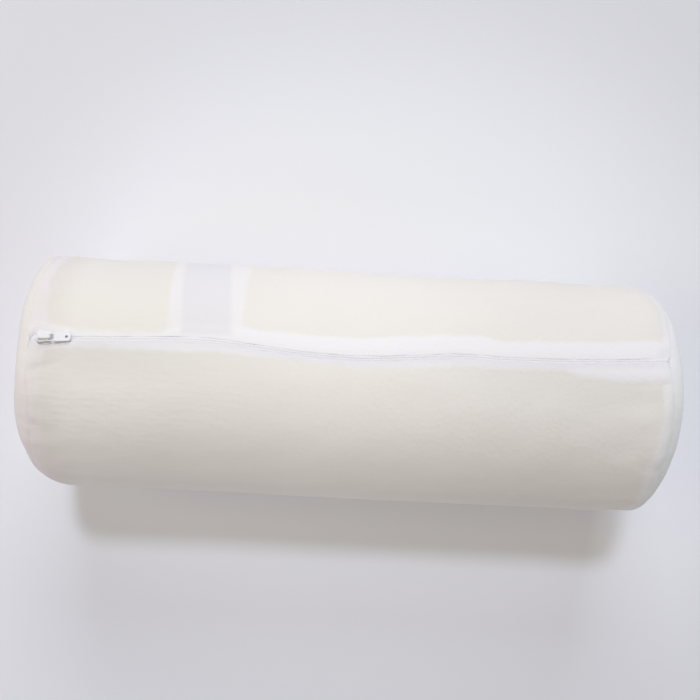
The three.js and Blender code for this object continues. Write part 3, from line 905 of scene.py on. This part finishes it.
def bridge_plate():
    """The arch that holds the pull, as its outline seen from the side."""
    sink = SLIDER["plate"] / 2
    low, high = BRIDGE["from_x"], BRIDGE["to_x"]
    leg, top = BRIDGE["leg"], BRIDGE["rise"]
    under = top - BRIDGE["bar"]
    corners = [
        (low, -sink), (low + leg, -sink), (low + leg, under), (high - leg, under),
        (high - leg, -sink), (high, -sink), (high, top), (low, top),
    ]
    outline = rounded(corners, BRIDGE_ROUNDS, 6)
    return plate([outline], BRIDGE["width"], BRIDGE["bevel"], -BRIDGE["width"] / 2)


def make_pull():
    """A flat tab with an eye for the bridge and a small hole near its end."""
    half, neck, length = PULL["width"] / 2, PULL["neck"] / 2, PULL["length"]
    shoulder = PULL_EYE["to"] + PULL["shoulder"]
    corners = [(0, -neck), (PULL_EYE["to"], -neck), (shoulder, -half), (length, -half)]
    corners += [(x, -y) for x, y in reversed(corners)]
    near, far, side = PULL_EYE["from"], PULL_EYE["to"], PULL_EYE["width"] / 2
    eye = [(near, -side), (near, side), (far, side), (far, -side)]
    radius, sides = PULL_HOLE["radius"], PULL_HOLE["sides"]
    angles = np.arange(sides) * -2 * math.pi / sides  # holes run clockwise
    hole = [(PULL_HOLE["at"] + radius * math.cos(angle), radius * math.sin(angle)) for angle in angles]
    outlines = [rounded(corners, PULL_ROUNDS), rounded(eye, [PULL_EYE["round"]] * len(eye), 3), hole]
    tab = plate(outlines, PULL["thick"], PULL["bevel"], 0)
    x = BRIDGE["to_x"] - BRIDGE["leg"] - near - GAP
    seat = Matrix.Translation([x, PULL["across"], PLATE_TOP + PULL["rest"]])
    swing = Matrix.Rotation(math.radians(PULL["swing"]), 4, "Z")
    tilt = Matrix.Rotation(math.radians(PULL["tilt"]), 4, "Y")
    return metal_piece("pull", [(tab, Matrix.Identity(4))], slider_frame() @ seat @ swing @ tilt)


# Materials

class Nodes:
    """A short way to write a material's nodes. put and finish aside, each method gives back outputs."""

    def __init__(self, name):
        self.material = bpy.data.materials.new(name)
        self.material.use_nodes = True
        self.tree = self.material.node_tree
        self.shader = self.tree.nodes["Principled BSDF"]

    def put(self, socket, value):
        if isinstance(value, bpy.types.NodeSocket):
            self.tree.links.new(value, socket)
        else:
            socket.default_value = value

    def add(self, kind, output, inputs, **settings):
        node = self.tree.nodes.new("ShaderNode" + kind)
        for key, value in settings.items():
            setattr(node, key, value)
        for key, value in inputs.items():
            self.put(node.inputs[key], value)
        return node.outputs[output]

    def math(self, operation, *values):
        return self.add("Math", "Value", dict(enumerate(values)), operation=operation)

    def ramp(self, value, start, stop, low=0.0, high=1.0):
        inputs = {"Value": value, "From Min": start, "From Max": stop, "To Min": low, "To Max": high}
        return self.add("MapRange", "Result", inputs, interpolation_type="SMOOTHSTEP")

    def mark(self, name):
        return self.add("Attribute", "Fac", {}, attribute_name=name)

    def cloth_map(self):
        return self.add("UVMap", "UV", {}, uv_map="cloth")

    def position(self):
        return self.add("TexCoord", "Object", {})

    def turned(self, vector, degrees=0, scale=(1, 1, 1), move=(0, 0, 0)):
        inputs = {"Vector": vector, "Location": move, "Scale": scale}
        return self.add("Mapping", 0, {**inputs, "Rotation": (0, 0, math.radians(degrees))})

    def split(self, vector):
        return [self.add("SeparateXYZ", axis, {0: vector}) for axis in (0, 1)]

    def length(self, vector):
        return self.add("VectorMath", "Value", {0: vector}, operation="LENGTH")

    def noise(self, vector, size_mm, detail=2.0, rough=0.5):
        inputs = {"Scale": 1 / (size_mm * MM), "Detail": detail, "Roughness": rough, "Vector": vector}
        return self.add("TexNoise", "Fac", inputs)

    def mix(self, share, first, second, blend="MIX"):
        inputs = {"Factor": share, "A": first, "B": second}
        return self.add("Mix", "Result", inputs, data_type="RGBA", blend_type=blend)

    def bump(self, height, depth_mm, strength=1.0, **below):
        inputs = {"Height": height, "Distance": depth_mm * MM, "Strength": strength, **below}
        return self.add("Bump", "Normal", inputs)

    def finish(self, **values):
        for key, value in values.items():
            self.put(self.shader.inputs[key.replace("_", " ")], value)
        return self.material


def knit_height(nodes, uv, wale=0.95, course=0.75):
    """Relief of a fine plain knit: columns of small Vs. wale and course are the stitch's size in mm."""
    along, around = nodes.split(uv)
    column_share = nodes.math("FRACT", nodes.math("MULTIPLY", along, 1 / (wale * MM)))
    off_middle = nodes.math("ABSOLUTE", nodes.math("SUBTRACT", column_share, 0.5))
    off_middle = nodes.math("MULTIPLY", off_middle, 2)
    slant = nodes.math("MULTIPLY", off_middle, 0.6)
    row = nodes.math("ADD", nodes.math("MULTIPLY", around, 1 / (course * MM)), slant)
    loops = nodes.math("COSINE", nodes.math("MULTIPLY", row, 2 * math.pi))
    ridge = nodes.math("SUBTRACT", 1, nodes.math("MULTIPLY", off_middle, off_middle))
    stitch = nodes.math("ADD", 0.6, nodes.math("MULTIPLY", loops, 0.4))
    return nodes.math("MULTIPLY", ridge, stitch)


CREAM = (0.909, 0.877, 0.808, 1)
WHITE = (0.945, 0.93, 0.93, 1)
RIBBON_GREY = (0.84, 0.832, 0.845, 1)
# Tones of the end cloths. The left one is darker and pinker, painted shade at that end
END_TONES_AND_PAINTED_SHADE = {-1: (0.80, 0.765, 0.72, 1), 1: (0.82, 0.79, 0.727, 1)}
# Painted shade, by which the cover's colour is multiplied: in front of the zip, towards both ends, and at
# the left one
# Painted shade on the front lip of the zip, which faces away from the light
ZIP_PAINTED_SHADE = (0.935, 0.93, 0.95, 1)
# Painted shade, growing towards both ends of the roll
ENDS_PAINTED_SHADE = (0.93, 0.93, 0.93, 1)
# Painted shade at the left end of the roll
LEFT_PAINTED_SHADE = (0.94, 0.925, 0.925, 1)
# and where each starts and is whole, in mm across the zip or along the roll
ZIP_PAINTED_SHADE_SPAN = {"front": (-6, -2), "back": (2, 0)}
ENDS_PAINTED_SHADE_SPAN = (0, 150)
LEFT_PAINTED_SHADE_SPAN = (-162, -186)
# How a layer shows through: the marks where that starts and is whole, and the share that it comes to
SHOWS = {"band": (-2.3, 2.3, 0, 1), "ribbon": (-2.2, 2, 0, 0.62), "ribbon_middle": (-2.5, 2, 0, 0.75)}
# Painted shade where the cover hangs loose in front of the zip: how much of it shows, and the cream's share
# there
LOOSE_PAINTED_SHADE_SHARE = 0.75
LOOSE_PAINTED_SHADE_TONE = 0.87


def shade_of(colour, share):
    return tuple(share * c for c in colour[:3]) + (1,)


def covered(nodes, uv, colour):
    """The cover's colour, with the layers that show through its cloth, and painted shade where the cloth
    hangs loose, in front of the zip, towards both ends and at the left one.
    """
    band, ribbon, middle = (nodes.ramp(nodes.mark(key), *shows) for key, shows in SHOWS.items())
    shown = nodes.math("MAXIMUM", nodes.math("MAXIMUM", band, nodes.mark("strip")), ribbon)
    # Painted shade where the cloth hangs loose
    loose_painted_shade = nodes.math("MULTIPLY", nodes.mark("loose"), LOOSE_PAINTED_SHADE_SHARE)
    colour = nodes.mix(loose_painted_shade, colour, shade_of(CREAM, LOOSE_PAINTED_SHADE_TONE))
    colour = nodes.mix(shown, colour, WHITE)
    colour = nodes.mix(middle, colour, RIBBON_GREY)
    in_front, behind = (nodes.ramp(nodes.mark("beside"), *places) for places in ZIP_PAINTED_SHADE_SPAN.values())
    painted_shade_at_zip = nodes.math("MULTIPLY", in_front, behind)
    along = nodes.math("DIVIDE", nodes.split(uv)[0], MM)
    painted_shade_to_ends = nodes.ramp(nodes.math("ABSOLUTE", along), *ENDS_PAINTED_SHADE_SPAN)
    painted_shade_at_left = nodes.ramp(along, *LEFT_PAINTED_SHADE_SPAN)
    # Painted shade: darker in front of the zip, towards both ends and at the left end
    for share, shade in ((painted_shade_at_zip, ZIP_PAINTED_SHADE), (painted_shade_to_ends, ENDS_PAINTED_SHADE), (painted_shade_at_left, LEFT_PAINTED_SHADE)):
        colour = nodes.mix(share, colour, shade, "MULTIPLY")
    return colour


def cloth_material(name, tone, is_cover):
    """Thin crinkled knit over foam, seen in some tone. Its crinkles slant at the left of the roll."""
    nodes = Nodes(name)
    uv = nodes.cloth_map()
    drift = nodes.noise(nodes.position(), 38, 1)
    colour = nodes.mix(drift, tone, shade_of(tone, 0.975))
    if is_cover:
        colour = covered(nodes, uv, colour)
    else:
        colour = nodes.mix(nodes.mark("strip"), colour, shade_of(WHITE, 0.92))
    knit = nodes.bump(knit_height(nodes, uv), 0.07, 0.6)
    pebbles = nodes.noise(uv, 3.4, 2, 0.5)
    slanted = nodes.noise(nodes.turned(uv, -27, (0.3, 1, 1)), 3.0, 2, 0.45)
    along, _ = nodes.split(uv)
    crimp = nodes.mix(nodes.ramp(along, -150 * MM, 40 * MM), slanted, pebbles)
    normal = nodes.bump(crimp, 0.45, 0.55, Normal=knit)
    sheen = {"Sheen_Weight": 0.12, "Sheen_Roughness": 0.5}
    return nodes.finish(Base_Color=colour, Roughness=0.92, Normal=normal, **sheen)


def tape_material():
    """Woven tape: short crossing ribs."""
    nodes = Nodes("woven_tape")
    x, y = nodes.split(nodes.position())
    ribs = nodes.math("SINE", nodes.math("MULTIPLY", x, 2 * math.pi / (0.7 * MM)))
    cross = nodes.math("SINE", nodes.math("MULTIPLY", y, 2 * math.pi / (0.5 * MM)))
    weave = nodes.math("MULTIPLY", ribs, cross)
    shade = nodes.noise(nodes.position(), 6, 2)
    colour = nodes.mix(shade, (0.94, 0.93, 0.95, 1), (0.91, 0.90, 0.93, 1))
    return nodes.finish(Base_Color=colour, Roughness=0.85, Normal=nodes.bump(weave, 0.08))


def coil_material():
    """Smooth nylon wire, slightly milky."""
    nodes = Nodes("coil_nylon")
    shade = nodes.noise(nodes.position(), 9, 2)
    colour = nodes.mix(shade, (0.885, 0.88, 0.895, 1), (0.86, 0.855, 0.87, 1))
    scuff = nodes.bump(nodes.noise(nodes.position(), 0.5, 2), 0.02)
    return nodes.finish(Base_Color=colour, Roughness=0.45, Normal=scuff)


def metal_material():
    """White lacquer on cast metal, a little uneven."""
    nodes = Nodes("white_lacquer")
    worn = nodes.noise(nodes.position(), 1.6, 3)
    colour = nodes.mix(nodes.ramp(worn, 0.45, 0.75), (0.835, 0.835, 0.845, 1), (0.80, 0.80, 0.815, 1))
    dimples = nodes.bump(nodes.noise(nodes.position(), 0.6, 2), 0.03)
    return nodes.finish(Base_Color=colour, Roughness=0.45, Normal=dimples)


FLOOR = (0.888, 0.893, 0.919, 1)
FLOOR_HALF = 3000
# Painted falloff of light: away from its centre, in metres, the floor's tone falls to a share.
FLOOR_PAINTED_FALLOFF = {"centre": (0.0465, 0.0186), "flatten": 0.809, "from": 0.1486, "to": 0.3135, "to_share": 0.845}


def floor_material():
    nodes = Nodes("pale_floor")
    shade = nodes.noise(nodes.position(), 180, 2)
    colour = nodes.mix(shade, FLOOR, shade_of(FLOOR, 0.985))
    x, y = FLOOR_PAINTED_FALLOFF["centre"]
    flatten = FLOOR_PAINTED_FALLOFF["flatten"]
    away = nodes.length(nodes.turned(nodes.position(), scale=(flatten, 1, 0), move=(-x * flatten, -y, 0)))
    # Painted light: the floor is brightest round the pillow and darker away from it
    fade = nodes.ramp(away, FLOOR_PAINTED_FALLOFF["from"], FLOOR_PAINTED_FALLOFF["to"])
    colour = nodes.mix(fade, colour, shade_of(FLOOR, FLOOR_PAINTED_FALLOFF["to_share"]))
    grain = nodes.bump(nodes.noise(nodes.position(), 1.2, 2), 0.02)
    return nodes.finish(Base_Color=colour, Roughness=0.7, Normal=grain)


# Floor, light and camera

def make_floor():
    corners = [(x * FLOOR_HALF, y * FLOOR_HALF, 0) for x, y in ((-1, -1), (1, -1), (1, 1), (-1, 1))]
    floor = mesh_object("floor", corners, [[0, 1, 2, 3]])
    floor.data.materials.append(floor_material())


# Area lights that face the pillow: places and sizes in metres, power in watts
LIGHTS = table(
    "name at size power colour",
    ("key", (-0.40, 3.86, 7.0), 1.0, 194, (0.755, 0.826, 1.0)),
    ("window", (0, 5, 3.5), 2.5, 137, (0.85, 0.922, 1.0)),
    ("fill_left", (-0.8, 0, 0.9), 0.6, 1.93, (0.98, 1.0, 0.53)),
    ("fill_front", (-0.9, -0.5, 0.5), 0.5, 1.70, (0.523, 0.561, 1.0)),
    ("fill_right", (3.6, -0.9, 1.2), 1.5, 17.2, (0.41, 1.0, 0.913)),
)
SKY = {"colour": (1.0, 0.823, 0.787, 1), "strength": 0.362}


def make_light():
    for row in LIGHTS:
        lamp = bpy.data.lights.new(row["name"], "AREA")
        lamp.shape = "DISK" if row["name"] == "key" else "SQUARE"
        lamp.size = row["size"]
        lamp.energy = row["power"]
        lamp.color = row["colour"]
        light = bpy.data.objects.new(row["name"], lamp)
        light.location = row["at"]
        light.rotation_mode = "QUATERNION"
        light.rotation_quaternion = (-Vector(row["at"])).to_track_quat("-Z", "Y")
        light.visible_camera = False
        bpy.context.scene.collection.objects.link(light)
    world = bpy.data.worlds.new("studio")
    world.use_nodes = True
    background = world.node_tree.nodes["Background"]
    background.inputs["Color"].default_value = SKY["colour"]
    background.inputs["Strength"].default_value = SKY["strength"]
    bpy.context.scene.world = world
    bpy.context.scene.view_settings.view_transform = "Standard"


CAMERA = {"at": (-12.1, 23.1, 693.2), "roll": 0.052, "tilt": 0.020, "lens": 47.66, "sensor": 36}


def make_camera():
    """Almost straight down: tilt leans it along the roll, and roll turns the picture."""
    data = bpy.data.cameras.new("camera")
    data.lens = CAMERA["lens"]
    data.sensor_width = CAMERA["sensor"]
    data.clip_start, data.clip_end = 0.01, 20
    camera = bpy.data.objects.new("camera", data)
    lean = Matrix.Rotation(-CAMERA["tilt"], 4, "Y")
    turn = Matrix.Rotation(CAMERA["roll"], 4, "Z")
    move = Matrix.Translation([value * MM for value in CAMERA["at"]])
    camera.matrix_world = move @ lean @ turn
    bpy.context.scene.collection.objects.link(camera)
    bpy.context.scene.camera = camera


# Each piece with its material, its place in the record and the solid that it stands for

def dress(piece, material, node):
    piece.data.materials.append(material)
    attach(piece, BODY)
    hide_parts(node)
    return piece


make_camera()
make_light()
make_floor()

cover = dress(make_cover(), cloth_material("knit_cover", CREAM, True), "roll")

for end, side in ((LEFT, "left"), (RIGHT, "right")):
    end_cloth = cloth_material("knit_end_" + side, END_TONES_AND_PAINTED_SHADE[end["side"]], False)
    piece = dress(make_end_cloth(end, "end_cloth_" + side), end_cloth, "end_panel_" + side)

tape_cloth, nylon = tape_material(), coil_material()
for side, sign in (("back", 1), ("front", -1)):
    tape = dress(make_tape("tape_" + side, sign), tape_cloth, "zip_tape_" + side)
    dress(make_coil("coil_" + side, sign), nylon, "zip_coil_" + side)

lacquer = metal_material()
dress(make_slider(), lacquer, "zip_slider")
dress(make_pull(), lacquer, "zip_pull")
